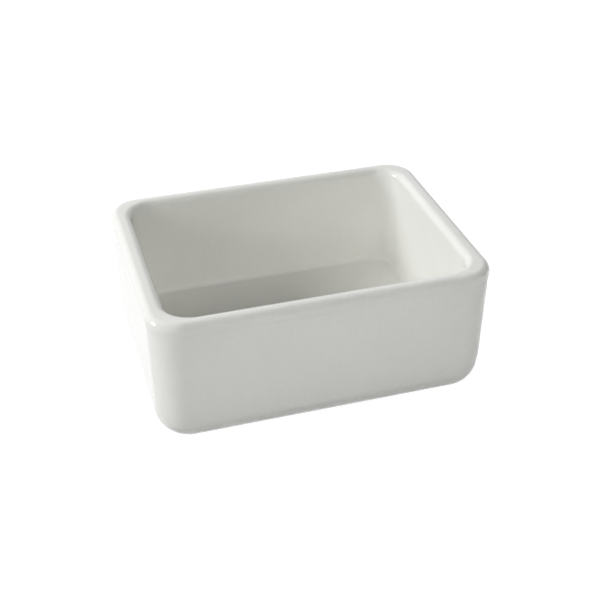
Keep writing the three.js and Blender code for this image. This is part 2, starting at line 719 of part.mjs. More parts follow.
/** Turned knob: a slim neck that swells to a domed head. */
function postKnob() {
  const headZ = knobTopZ - KNOB_HEAD_HEIGHT;
  const edgeRadius = KNOB_HEAD_HEIGHT / 2;
  const edgeCentre = KNOB_HEAD_RADIUS - edgeRadius;
  const outline = [
    [clampBore, knobZ],
    [KNOB_NECK_RADIUS, knobZ],
    [KNOB_NECK_RADIUS, headZ - KNOB_HEAD_HEIGHT / 2],
    ...arc(edgeCentre, knobTopZ - edgeRadius, edgeRadius, -90, 90, 2 * LIP_STEPS),
    [0, knobTopZ],
    [0, knobZ + KNOB_BORE_DEPTH],
    [clampBore, knobZ + KNOB_BORE_DEPTH],
  ];
  return turn(outline, SMALL_ROUND);
}

addPiece('stopper_disc', stopperDisc(), 'rubber');
addPiece('stopper_plate', stopperPlate(), 'steel');
addPiece('stopper_nut', stopperNut(), 'brass');
addPiece('stopper_post', stopperPost(), 'steel');
addPiece('post_knob', postKnob(), 'chrome');

export default sink;
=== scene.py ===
"""Looks for a white fireclay farmhouse sink and its basket strainer waste.

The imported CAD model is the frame: every piece is built in its coordinates, in metres, with the
apron towards -Y and the underside of the casting at z = 0. One operator builds each piece or group
of like pieces, and another the stage with its camera and lamps. Run as a script, the file registers
its operators and runs them in order.
"""

import math

import bmesh
import bpy
from bpy.props import FloatProperty, FloatVectorProperty, IntProperty, PointerProperty
from mathutils import Matrix, Vector, geometry, noise


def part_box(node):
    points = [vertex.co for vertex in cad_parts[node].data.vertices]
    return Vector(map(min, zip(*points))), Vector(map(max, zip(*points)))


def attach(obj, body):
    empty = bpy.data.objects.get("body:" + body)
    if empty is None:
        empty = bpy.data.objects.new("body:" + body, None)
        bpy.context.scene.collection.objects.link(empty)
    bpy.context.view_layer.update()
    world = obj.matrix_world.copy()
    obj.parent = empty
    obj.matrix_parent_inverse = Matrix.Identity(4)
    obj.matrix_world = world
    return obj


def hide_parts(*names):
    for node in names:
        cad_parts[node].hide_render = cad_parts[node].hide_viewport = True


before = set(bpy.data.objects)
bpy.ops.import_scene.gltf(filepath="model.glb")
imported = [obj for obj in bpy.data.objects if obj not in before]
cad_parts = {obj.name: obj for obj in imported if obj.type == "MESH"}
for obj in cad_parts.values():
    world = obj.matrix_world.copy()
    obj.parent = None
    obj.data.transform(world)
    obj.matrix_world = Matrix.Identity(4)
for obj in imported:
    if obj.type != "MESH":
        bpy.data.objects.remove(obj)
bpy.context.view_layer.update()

bl_info = {
    "name": "Farmhouse sink looks",
    "version": (1, 0, 0),
    "blender": (4, 5, 0),
    "location": "View3D > Sidebar > Farmhouse sink",
    "description": "Builds a glazed fireclay sink, its strainer waste and a studio stage",
    "category": "Add Mesh",
}

SMOOTH_LIMIT = math.radians(38)
TURN = 2 * math.pi
QUARTER = TURN / 4
ROUND = 96  # points round a turned piece
FIT = 0.0003  # gap between pieces that fit together
NIL = 1e-7  # no length
SAME = 1e-5  # radii closer than this are the same


# -------- outlines


def rounded(corners, steps=4):
    """A closed (radius, height) outline whose corners, given as (r, z, rounding), become arcs."""
    points = []
    for index, (radius, height, rounding) in enumerate(corners):
        here = Vector((radius, height))
        back = Vector(corners[index - 1][:2]) - here
        ahead = Vector(corners[(index + 1) % len(corners)][:2]) - here
        half = back.angle(ahead) / 2
        room = 0.49 * min(back.length, ahead.length)
        reach = min(rounding / math.tan(half), room)
        if reach < NIL:
            points.append(tuple(here))
            continue
        arc_radius = reach * math.tan(half)
        inward = (back.normalized() + ahead.normalized()).normalized()
        centre = here + inward * (arc_radius / math.sin(half))
        start = here + back.normalized() * reach - centre
        end = here + ahead.normalized() * reach - centre
        sweep = math.atan2(start.x * end.y - start.y * end.x, start.dot(end))
        for step in range(steps + 1):
            spoke = Matrix.Rotation(sweep * step / steps, 2) @ start
            points.append(tuple(centre + spoke))
    return points


def evenly(start, end, steps):
    """Values from start to end, both included."""
    return [start + (end - start) * step / steps for step in range(steps + 1)]


def quarter_arc(radius, steps):
    """Steps of a quarter round between two faces, as pairs of the distances from each of them."""
    angles = evenly(0, QUARTER, steps)
    return [(radius * (1 - math.cos(angle)), radius * (1 - math.sin(angle))) for angle in angles]


def smoothly(share):
    """Eases a share from 0 to 1 in and out."""
    share = min(max(share, 0.0), 1.0)
    return share * share * (3 - 2 * share)


# -------- meshes


def linked(name, data):
    """A new object in the scene."""
    item = bpy.data.objects.new(name, data)
    bpy.context.scene.collection.objects.link(item)
    return item


def piece_from(made, name, body, material, replaced=None):
    """Makes a finished bmesh into a piece that rides on a body."""
    bmesh.ops.recalc_face_normals(made, faces=made.faces)
    for face in made.faces:
        face.smooth = True
    for edge in made.edges:
        edge.smooth = len(edge.link_faces) == 2 and edge.calc_face_angle(0) < SMOOTH_LIMIT
    mesh = bpy.data.meshes.new(name)
    made.to_mesh(mesh)
    made.free()
    mesh.materials.append(material)
    piece = linked(name, mesh)
    weighted = piece.modifiers.new("even_normals", "WEIGHTED_NORMAL")
    weighted.keep_sharp = True
    if replaced:
        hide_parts(replaced)
    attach(piece, body)
    return piece


def spun(outline, segments, swell=None):
    """Turns a closed outline about Z. swell(radius, height, angle) gives the radius at an angle."""
    made = bmesh.new()
    rings = []
    for radius, height in outline:
        if radius < NIL:
            rings.append([made.verts.new((0, 0, height))] * segments)
            continue
        ring = []
        for segment in range(segments):
            angle = TURN * segment / segments
            out = swell(radius, height, angle) if swell else radius
            ring.append(made.verts.new((out * math.cos(angle), out * math.sin(angle), height)))
        rings.append(ring)
    for here, above in zip(rings, rings[1:] + rings[:1]):
        for segment in range(segments):
            beside = (segment + 1) % segments
            corners = [here[segment], here[beside], above[beside], above[segment]]
            kept = list(dict.fromkeys(corners))
            if len(kept) > 2:
                made.faces.new(kept)
    return made


def turned(corners, name, body, material, node, segments=ROUND, swell=None, steps=4):
    """Spins a section with rounded corners into a piece that takes the place of a CAD node."""
    made = spun(rounded(corners, steps), segments, swell)
    piece_from(made, name, body, material, node)


def skinned(rings):
    """Skins a loop of rings that have as many points each, the last joined back to the first."""
    made = bmesh.new()
    loops = [[made.verts.new(point) for point in ring] for ring in rings]
    for here, above in zip(loops, loops[1:] + loops[:1]):
        for index in range(len(here)):
            beside = (index + 1) % len(here)
            made.faces.new((here[index], here[beside], above[beside], above[index]))
    return made


def flat_ring(bore, rounding, name, material, node):
    """A washer that fills its CAD node's box outside the bore."""
    low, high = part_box(node)
    corners = [
        (bore, low.z, rounding),
        (high.x, low.z, rounding),
        (high.x, high.z, rounding),
        (bore, high.z, rounding),
    ]
    turned(corners, name, "sink", material, node)


def threaded(crest, depth, pitch, low, high):
    """A swell that cuts a helical thread into the wall at the crest radius between two heights."""

    def swell(radius, height, angle):
        if abs(radius - crest) > SAME or not low < height < high:
            return radius
        fade = min(1.0, (height - low) / pitch, (high - height) / pitch)
        phase = (height / pitch - angle / TURN) % 1.0
        return radius - depth * fade * smoothly(abs(2 * phase - 1))

    return swell


def lugged(bore, body, reach, count, share, flank=0.07):
    """A swell that raises equal lugs on whatever lies outside a nut's bore."""

    def swell(radius, height, angle):
        place = (angle * count / TURN) % 1.0
        rise = smoothly(place / flank) * smoothly((share - place) / flank)
        return radius + reach * rise * max(0.0, (radius - bore) / (body - bore)) ** 0.5

    return swell


def polygonal(bore, sides):
    """A swell that makes the outside of a nut a regular polygon."""
    half = TURN / sides / 2

    def swell(radius, height, angle):
        if radius < bore + SAME:
            return radius
        return radius * math.cos(half) / math.cos(angle % (2 * half) - half)

    return swell


# -------- shader maths


class Term:
    """A shader socket that takes part in Python expressions; each operator adds its Math node."""

    def __init__(self, tree, socket):
        self.tree = tree
        self.socket = socket

    def _math(self, operation, first, second=0.0):
        return add_node(self.tree, "ShaderNodeMath", {"operation": operation}, {0: first, 1: second})

    def __add__(self, other):
        return self._math("ADD", self, other)

    __radd__ = __add__

    def __sub__(self, other):
        return self._math("SUBTRACT", self, other)

    def __rsub__(self, other):
        return self._math("SUBTRACT", other, self)

    def __mul__(self, other):
        return self._math("MULTIPLY", self, other)

    __rmul__ = __mul__

    def root(self):
        """Square root."""
        return self._math("SQRT", self)

    def most(self, other):
        """The larger of two values."""
        return self._math("MAXIMUM", self, other)

    def of(self, output):
        """Another output of the same node."""
        return Term(self.tree, self.socket.node.outputs[output])


def add_node(tree, kind, settings=None, sockets=None, output=0):
    """Adds a node: its settings first, then the values or links of its sockets."""
    node = tree.nodes.new(kind)
    for key, value in (settings or {}).items():
        setattr(node, key, value)
    for key, value in (sockets or {}).items():
        if isinstance(value, Term):
            tree.links.new(value.socket, node.inputs[key])
        else:
            node.inputs[key].default_value = value
    return Term(tree, node.outputs[output] if node.outputs else None)


def seen_rays(tree):
    """1 for the rays that see the background: the camera's, and those of reflections and glass."""
    path = add_node(tree, "ShaderNodeLightPath")
    return path.of("Is Camera Ray").most(path.of("Is Glossy Ray")).most(path.of("Is Transmission Ray"))


def rgba(colour):
    """A colour with full alpha."""
    return (*colour, 1.0)


def shade(colour, factor):
    """A colour made lighter or darker."""
    return rgba([min(1.0, channel * factor) for channel in colour])


# Places of both inputs and of the output of a Mix node, by its data type
MIX_SOCKETS = {"RGBA": (6, 7, 2), "VECTOR": (4, 5, 1)}


class Finish:
    """A material under construction, with the patterns that several finishes share."""

    def __init__(self, name):
        self.material = bpy.data.materials.new(name)
        self.material.use_nodes = True
        self.tree = self.material.node_tree
        self.tree.nodes.clear()
        self.place = self.node("ShaderNodeTexCoord", output="Object")

    def node(self, kind, settings=None, sockets=None, output=0):
        """Adds a node to this material."""
        return add_node(self.tree, kind, settings, sockets, output)

    def noise(self, scale, detail=2.0, roughness=0.5, where=None):
        """Noise from 0 to 1, with features of about 1/scale metres."""
        sockets = {"Vector": where or self.place, "Scale": scale, "Detail": detail, "Roughness": roughness}
        return self.node("ShaderNodeTexNoise", sockets=sockets)

    def mix(self, factor, first, second, kind="RGBA"):
        """A colour between two colours, or a vector between two vectors."""
        place_a, place_b, output = MIX_SOCKETS[kind]
        sockets = {0: factor, place_a: first, place_b: second}
        return self.node("ShaderNodeMix", {"data_type": kind}, sockets, output)

    def tones(self, pattern, colour, first, second):
        """Two shades of a colour, laid out by a pattern."""
        return self.mix(pattern, shade(colour, first), shade(colour, second))

    def between(self, value, low, high):
        """How far a value is from low to high, eased and clamped to 0 and 1."""
        settings = {"interpolation_type": "SMOOTHSTEP"}
        sockets = {"Value": value, "From Min": low, "From Max": high}
        return self.node("ShaderNodeMapRange", settings, sockets)

    def axes(self):
        """X, Y and Z of the object's coordinates."""
        split = self.node("ShaderNodeSeparateXYZ", sockets={0: self.place})
        return split, split.of("Y"), split.of("Z")

    def bump(self, height, distance, strength=1.0, under=None):
        """A normal that follows a height in metres, over another bump where one is given."""
        sockets = {"Height": height, "Distance": distance, "Strength": strength}
        if under:
            sockets["Normal"] = under
        return self.node("ShaderNodeBump", sockets=sockets)

    def surface(self, **sockets):
        """Ends the material with one Principled shader."""
        named = {key.replace("_", " "): value for key, value in sockets.items()}
        shader = self.node("ShaderNodeBsdfPrincipled", sockets=named)
        self.node("ShaderNodeOutputMaterial", sockets={"Surface": shader})
        return self.material


# -------- finishes


def fireclay(look):
    """Milk-white glaze over clay, with bare biscuit where the casting stood in the kiln."""
    finish = Finish("glazed_fireclay")
    _, _, height = finish.axes()
    cloud = finish.noise(9.0, 3.0)
    flow = finish.noise(38.0, 2.0)
    grain = finish.noise(900.0, 2.0)
    ragged = finish.noise(55.0, 3.0)
    line = look.foot_line
    bare = 1 - finish.between(height + (ragged - 0.5) * line, line * 0.5, line * 1.5)
    mottle = finish.noise(260.0, 3.0) * 0.6 + cloud * 0.4
    glaze = finish.tones(finish.between(mottle, 0.3, 0.7), look.glaze, 0.975, 1.02)
    biscuit = finish.tones(grain, look.biscuit, 0.9, 1.06)
    colour = finish.mix(bare, glaze, biscuit)
    wave = finish.bump(flow * 0.7 + cloud * 0.3, 0.0012, 0.12)
    peel = finish.bump(finish.noise(230.0, 1.0), 0.00008, 0.12, under=wave)
    grit = finish.bump(grain, 0.0003, 0.8)
    return finish.surface(
        Base_Color=colour,
        Roughness=0.04 + cloud * 0.05 + bare * 0.6,
        IOR=1.5,
        Normal=finish.mix(bare, peel, grit, "VECTOR"),
    )


def spun_metal(name, colour, roughness):
    """Metal turned or spun on a lathe: fine rings round the axis, and faint handling marks."""
    finish = Finish(name)
    along, across, height = finish.axes()
    radius = (along * along + across * across).root()
    lane = finish.node("ShaderNodeCombineXYZ", sockets={0: radius, 1: height})
    rings = finish.noise(5200.0, 3.0, 0.65, where=lane)
    broad = finish.noise(700.0, 2.0, where=lane)
    smear = finish.noise(70.0, 3.0)
    tone = finish.tones(rings * 0.7 + broad * 0.3, colour, 0.86, 1.08)
    return finish.surface(
        Base_Color=tone,
        Metallic=1.0,
        Roughness=roughness + (rings - 0.5) * 0.16 + (smear - 0.5) * 0.1,
        Normal=finish.bump(rings, 0.00005, 0.5),
    )


def plated(name, colour, roughness):
    """Bright plating with soft smears and a little dulling."""
    finish = Finish(name)
    smear = finish.noise(60.0, 4.0)
    speck = finish.noise(1400.0, 2.0)
    tone = finish.tones(finish.between(smear, 0.35, 0.75), colour, 1.0, 0.93)
    return finish.surface(
        Base_Color=tone,
        Metallic=1.0,
        Roughness=roughness + finish.between(smear, 0.45, 0.8) * 0.12 + speck * 0.03,
        Normal=finish.bump(smear, 0.0004, 0.12),
    )


def cast_brass(colour):
    """Sand-cast brass with dull brown in its hollows."""
    finish = Finish("cast_brass")
    sand = finish.noise(1500.0, 4.0, 0.6)
    stain = finish.noise(90.0, 4.0)
    tone = finish.tones(finish.between(stain, 0.35, 0.7), colour, 1.0, 0.62)
    return finish.surface(
        Base_Color=tone,
        Metallic=1.0,
        Roughness=0.34 + sand * 0.18 + finish.between(stain, 0.4, 0.8) * 0.18,
        Normal=finish.bump(sand, 0.00012, 0.6),
    )


def moulded(name, colour, roughness, grain_scale, grain_depth):
    """Rubber, fibre or plastic with a fine grain and a cloudy bloom."""
    finish = Finish(name)
    grain = finish.noise(grain_scale, 3.0, 0.6)
    bloom = finish.noise(110.0, 3.0)
    tone = finish.tones(finish.between(bloom, 0.3, 0.75), colour, 0.85, 1.2)
    return finish.surface(
        Base_Color=tone,
        Roughness=roughness + (grain - 0.5) * 0.14,
        Normal=finish.bump(grain, grain_depth, 0.7),
    )


# -------- sizes and colours


def number(name, description, default, **options):
    """A number property."""
    return FloatProperty(name=name, description=description, default=default, **options)


def length(name, description, default):
    """A length property, in metres."""
    return number(name, description, default, unit="LENGTH", precision=4)


def camera_angle(name, description, default):
    """An angle of the camera, in radians."""
    return number(name, description, default, subtype="ANGLE")


def tint(name, default):
    """A colour property, described by what it colours."""
    text = "Colour of the " + name.lower()
    return FloatVectorProperty(
        name=name, description=text, default=default, subtype="COLOR", size=3, min=0.0, max=1.0
    )


def watts(name, default):
    """The power of a lamp, described by the lamp's name."""
    return number(name, "Power of the " + name.lower(), default, unit="POWER")


class SinkCasting(bpy.types.PropertyGroup):
    """Shape of the fireclay casting. Its overall size comes from the frame."""

    base_thickness: length("Base thickness", "Underside to the floor at the outlet", 0.038)
    floor_fall: length("Floor fall", "How far the dished floor falls to the outlet", 0.014)
    outer_draft: length("Outer draft", "How far each outer wall leans in to the underside", 0.0045)
    inner_draft: length("Inner draft", "How far each inner wall leans in to its foot", 0.005)
    rim_width: length("Rim width", "Outer to inner wall at the front and back rim", 0.0285)
    side_widening: length("Side widening", "How much wider the rim is at the sides", 0.0065)
    rim_outer_radius: length("Outer rim rounding", "Radius of the rim's outer edge", 0.014)
    rim_inner_radius: length("Inner rim rounding", "Radius of the rim's inner edge", 0.0135)
    roll_height: length("Roll height", "How deep the rim roll reaches", 0.019)
    roll_blend: length("Roll blend", "Height over which the roll blends into the apron", 0.009)
    roll_projection: length("Roll projection", "How far the roll stands proud of the apron", 0.001)
    outer_corner_top: length("Outer corner at the rim", "Plan radius of the outer corners at the rim", 0.055)
    outer_corner_base: length("Outer corner at the base", "Plan radius of the outer corners below", 0.061)
    foot_radius: length("Foot rounding", "Radius of the edge round the underside", 0.050)
    bowl_corner_radius: length("Bowl corner", "Plan radius of the bowl's corners", 0.048)
    cove_radius: length("Cove", "Radius between the bowl's walls and floor", 0.0115)
    floor_dish: number("Floor dish", "1 for a straight fall to the outlet, more for a dish", 1.6)
    outlet_radius: length("Outlet", "Radius of the hole for the strainer", 0.045)
    recess_radius: length("Outlet recess", "Radius of the recess for the flange", 0.0595)
    recess_depth: length("Recess depth", "Depth of the recess for the flange", 0.0038)
    recess_lip: length("Recess lip", "Rounding of the recess's edge", 0.002)
    hollow_radius: length("Hollow", "Radius of the hollow under the outlet", 0.075)
    hollow_depth: length("Hollow depth", "Depth of the hollow under the outlet", 0.014)
    hollow_chamfer: length("Hollow edge", "Chamfer of the hollow's edge", 0.002)
    wobble: length("Kiln wobble", "How far the walls wander from true", 0.0004)
    foot_line: length("Foot line", "Height of the bare line round the foot", 0.0035)
    glaze: tint("Glaze", (0.80, 0.798, 0.757))
    biscuit: tint("Bare clay", (0.72, 0.66, 0.56))


class SinkWaste(bpy.types.PropertyGroup):
    """Shape and colours of the strainer, its clamp, the tailpiece, the basket and the stopper."""

    steel: tint("Stainless steel", (0.70, 0.70, 0.71))
    chrome: tint("Chrome", (0.80, 0.81, 0.82))
    brass: tint("Brass", (0.66, 0.50, 0.25))
    rubber: tint("Rubber", (0.035, 0.035, 0.037))
    fibre: tint("Fibre", (0.36, 0.12, 0.07))
    polythene: tint("Polythene", (0.78, 0.79, 0.76))
    cup_wall: length("Cup wall", "Wall of the strainer's cup", 0.0022)
    ledge_depth: length("Ledge depth", "Flange to the basket's ledge", 0.0065)
    ledge_width: length("Ledge width", "Width of the basket's ledge", 0.0017)
    cup_taper: length("Cup taper", "How far the cup narrows", 0.0014)
    cup_depth: length("Cup depth", "Flange to the stopper's seat", 0.055)
    flange_thickness: length("Flange", "Thickness of the strainer's flange", 0.0016)
    thread_radius: length("Strainer thread", "Outer radius of the strainer's thread", 0.0432)
    nipple_radius: length("Nipple", "Outer radius of the outlet nipple", 0.0232)
    nipple_length: length("Nipple length", "Length of the outlet nipple", 0.019)
    throat_radius: length("Throat", "Radius of the throat under the stopper", 0.0175)
    thread_pitch: length("Thread pitch", "Pitch of both threads", 0.0022)
    thread_depth: length("Thread depth", "Depth of both threads", 0.0009)
    tube_radius: length("Tailpiece", "Outer radius of the tailpiece", 0.01905)
    tube_wall: length("Tailpiece wall", "Wall of the tailpiece", 0.0013)
    sheet: length("Sheet", "Thickness of the basket's sheet", 0.0009)
    post_hole: length("Post hole", "Radius of the hole in the basket's base", 0.0056)
    post_radius: length("Post", "Radius of the stopper's post", 0.003)
    stud_radius: length("Stud", "Radius of the post's threaded ends", 0.0025)
    guide_bore: length("Guide", "Bore of the grommet and of the cross's hub", 0.0034)
    hole_radius: length("Basket hole", "Radius of the basket's holes", 0.002)
    hole_sides: IntProperty(name="Hole sides", description="Points round each hole", default=16)


class SinkStage(bpy.types.PropertyGroup):
    """Camera, lamps and floor."""

    azimuth: camera_angle("Azimuth", "Camera's bearing from the apron", -0.2861)
    elevation: camera_angle("Elevation", "Camera's height angle", 0.5763)
    roll: camera_angle("Roll", "Camera's roll", -0.00746)
    distance: length("Distance", "Camera to its target", 2.073)
    target: FloatVectorProperty(
        name="Target",
        description="Where the camera looks",
        default=(0.00515, -0.02636, 0.12832),
        unit="LENGTH",
    )
    lens: number("Lens", "Focal length for a 36 mm frame, in mm", 67.15)
    key_power: watts("Key lamp", 176.0)
    back_power: watts("Back lamp", 128.0)
    front_power: watts("Front lamp", 53.0)
    left_power: watts("Front left lamp", 37.0)
    right_power: watts("Front right lamp", 17.0)
    front_wash_power: watts("Front wash", 5.6)
    side_wash_power: watts("Side wash", 75.0)
    cool_tint: tint("Key and back lamps", (0.97, 0.98, 1.0))
    paper: tint("Paper", (0.3, 0.3, 0.3))
    ambient: number("Ambient", "Light from all round", 0.05)
    floor_white: number("Floor white", "Glow that whitens the floor as seen", 1.75)
    floor_lift: number("Floor lift", "Share of that glow in what is seen", 0.55)


# -------- casting

# Points along a quarter of a ring
SIDE_STEPS = 8
CORNER_STEPS = 20
FRONT_STEPS = 12

# Rings of each face
FOOT_STEPS = 18
WALL_STEPS = 12
BLEND_STEPS = 10
EDGE_STEPS = 14
FLOOR_STEPS = 24
LIP_STEPS = 5
UNDERSIDE_SHARES = (0.04, 0.3, 0.65, 0.96)

LEAST_CORNER = 0.002
EDGE_BREAK = 0.001
HOLLOW_ROUNDING = 0.003
SEAT_ROUNDING = 0.0008


class CastingShape:
    """Rings of the casting, from its sizes and the frame's box."""

    def __init__(self, sizes):
        self.sizes = sizes
        low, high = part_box("sink_body")
        self.half_width = (high.x - low.x) / 2
        self.half_depth = (high.y - low.y) / 2
        self.height = high.z

    def rectangle(self, inset, corner, z, widening=0.0):
        """A rectangle with round corners, set in from the overall size, and further at the sides."""
        half_width = self.half_width - inset - widening
        half_depth = self.half_depth - inset
        corner = max(corner, LEAST_CORNER)
        corner_x = half_width - corner
        corner_y = half_depth - corner
        quadrant = [(half_width, corner_y * step / SIDE_STEPS) for step in range(SIDE_STEPS)]
        for angle in evenly(0, QUARTER, CORNER_STEPS):
            quadrant.append((corner_x + corner * math.cos(angle), corner_y + corner * math.sin(angle)))
        quadrant += [(corner_x * step / FRONT_STEPS, half_depth) for step in reversed(range(FRONT_STEPS))]
        return self.mirrored(quadrant, z)

    @staticmethod
    def mirrored(quadrant, z):
        """A whole ring from its first quadrant."""
        ahead = quadrant[:-1]
        back = quadrant[:0:-1]
        return (
            [Vector((x, y, z)) for x, y in ahead]
            + [Vector((-x, y, z)) for x, y in back]
            + [Vector((-x, -y, z)) for x, y in ahead]
            + [Vector((x, -y, z)) for x, y in back]
        )

    def circle(self, radius, z):
        """A circle about the outlet, each point on the bearing of the floor's edge."""
        ring = []
        for point in self.floor_edge():
            bearing = math.atan2(point.y, point.x)
            ring.append(Vector((radius * math.cos(bearing), radius * math.sin(bearing), z)))
        return ring

    def circles(self, profile):
        """A circle for each (radius, height) pair."""
        return [self.circle(radius, z) for radius, z in profile]

    def outer_corner(self, z):
        """Plan radius of the outer corners at a height."""
        sizes = self.sizes
        return sizes.outer_corner_base + (sizes.outer_corner_top - sizes.outer_corner_base) * z / self.height

    def apron_inset(self, z):
        """Inset of the outer wall at a height below the rim roll."""
        sizes = self.sizes
        top = self.height - sizes.roll_height - sizes.roll_blend
        return sizes.roll_projection + sizes.outer_draft * (top - z) / top

    def wall_foot(self):
        """Height where the cove meets the floor."""
        return self.sizes.base_thickness + self.sizes.floor_fall

    def floor_edge(self):
        """Ring where the cove meets the floor."""
        sizes = self.sizes
        inset = sizes.rim_width + sizes.inner_draft + sizes.cove_radius
        return self.inner_ring(inset, sizes.bowl_corner_radius - sizes.cove_radius, self.wall_foot())

    def underside(self):
        """Outlet hole, hollow and underside, outward to the foot."""
        sizes = self.sizes
        seat = sizes.base_thickness - sizes.recess_depth
        foot = sizes.foot_radius
        edge = self.rectangle(self.apron_inset(0) + foot, self.outer_corner(0) - foot, 0)
        outlet = sizes.outlet_radius
        hollow = sizes.hollow_radius
        ceiling = sizes.hollow_depth
        profile = [
            (outlet, seat - EDGE_BREAK),
            (outlet, seat - 4 * EDGE_BREAK),
            (outlet, ceiling + 2 * EDGE_BREAK),
            (outlet + EDGE_BREAK, ceiling),
            (hollow - HOLLOW_ROUNDING, ceiling),
            (hollow, ceiling - HOLLOW_ROUNDING),
            (hollow, sizes.hollow_chamfer),
            (hollow + sizes.hollow_chamfer, 0),
        ]
        rings = self.circles(profile)
        rim = rings[-1]
        for share in UNDERSIDE_SHARES:
            rings.append([inner.lerp(outer, share) for inner, outer in zip(rim, edge)])
        return rings

    def outside(self):
        """Rounded foot, drafted wall and rim roll."""
        sizes = self.sizes
        rings = []
        for z, setback in quarter_arc(sizes.foot_radius, FOOT_STEPS):
            rings.append(self.rectangle(self.apron_inset(z) + setback, self.outer_corner(z) - setback, z))
        blend_start = self.height - sizes.roll_height - sizes.roll_blend
        walls = evenly(sizes.foot_radius, blend_start, WALL_STEPS)[1:-1]
        insets = [(self.apron_inset(z), z) for z in walls]
        for share in evenly(0, 1, BLEND_STEPS):
            inset = sizes.roll_projection * (1 - smoothly(share))
            insets.append((inset, blend_start + sizes.roll_blend * share))
        return rings + [self.rectangle(inset, self.outer_corner(z) - inset, z) for inset, z in insets]

    def rim(self):
        """The rim's outer and inner rounding, which meet in its narrow top."""
        sizes = self.sizes
        rings = []
        for inset, drop in quarter_arc(sizes.rim_outer_radius, EDGE_STEPS):
            rings.append(self.rectangle(inset, sizes.outer_corner_top - inset, self.height - drop))
        for drop, setback in quarter_arc(sizes.rim_inner_radius, EDGE_STEPS):
            corner = sizes.bowl_corner_radius + setback
            rings.append(self.inner_ring(sizes.rim_width - setback, corner, self.height - drop))
        return rings

    def inner_ring(self, inset, corner, z):
        """A ring of the bowl, whose side walls stand further in than the front and back."""
        return self.rectangle(inset, corner, z, self.sizes.side_widening)

    def bowl(self):
        """Inner wall, cove, floor and outlet recess."""
        sizes = self.sizes
        rings = []
        top = self.height - sizes.rim_inner_radius
        cove_top = self.wall_foot() + sizes.cove_radius
        for share in evenly(0, 1, WALL_STEPS)[1:-1]:
            z = top + (cove_top - top) * share
            inset = sizes.rim_width + sizes.inner_draft * share
            rings.append(self.inner_ring(inset, sizes.bowl_corner_radius, z))
        wall_inset = sizes.rim_width + sizes.inner_draft
        for inset, rise in quarter_arc(sizes.cove_radius, EDGE_STEPS):
            corner = sizes.bowl_corner_radius - inset
            rings.append(self.inner_ring(wall_inset + inset, corner, self.wall_foot() + rise))
        edge = rings[-1]
        lip = self.circle(sizes.recess_radius + sizes.recess_lip, sizes.base_thickness)
        for share in evenly(0, 1, FLOOR_STEPS)[1:-1]:
            ring = [outer.lerp(inner, share) for outer, inner in zip(edge, lip)]
            for point in ring:
                point.z = sizes.base_thickness + sizes.floor_fall * (1 - share) ** sizes.floor_dish
            rings.append(ring)
        lip_arc = quarter_arc(sizes.recess_lip, LIP_STEPS)
        profile = [(sizes.recess_radius + out, sizes.base_thickness - drop) for drop, out in lip_arc]
        seat = sizes.base_thickness - sizes.recess_depth
        profile += [
            (sizes.recess_radius, seat + SEAT_ROUNDING),
            (sizes.recess_radius - SEAT_ROUNDING, seat),
            (sizes.outlet_radius + EDGE_BREAK, seat),
        ]
        return rings + self.circles(profile)

    def wobbled(self, rings):
        """Moves points a little inward, as kiln-fired walls wander, but not those near the outlet."""
        start = 0.002  # height where the wander starts
        full = 0.03  # height over which it grows
        true_zone = 0.1  # half the side of the square round the outlet that stays true
        waves = 7.0
        for ring in rings:
            for point in ring:
                if start < point.z and max(abs(point.x), abs(point.y)) > true_zone:
                    wander = 0.5 + 0.5 * noise.noise(point * waves)
                    inward = Vector((-point.x, -point.y, 0)).normalized()
                    depth = min(1.0, (point.z - start) / full)
                    point += inward * (self.sizes.wobble * wander * depth)
        return rings


class SINK_OT_casting(bpy.types.Operator):
    """Builds the glazed fireclay casting"""

    bl_idname = "sink.casting"
    bl_label = "Fireclay casting"

    def execute(self, context):
        sizes = context.scene.sink_casting
        shape = CastingShape(sizes)
        rings = shape.underside() + shape.outside() + shape.rim() + shape.bowl()
        made = skinned(shape.wobbled(rings))
        material = fireclay(sizes)
        piece_from(made, "glazed_casting", "sink", material, "sink_body")
        return {"FINISHED"}


# -------- strainer and what clamps it


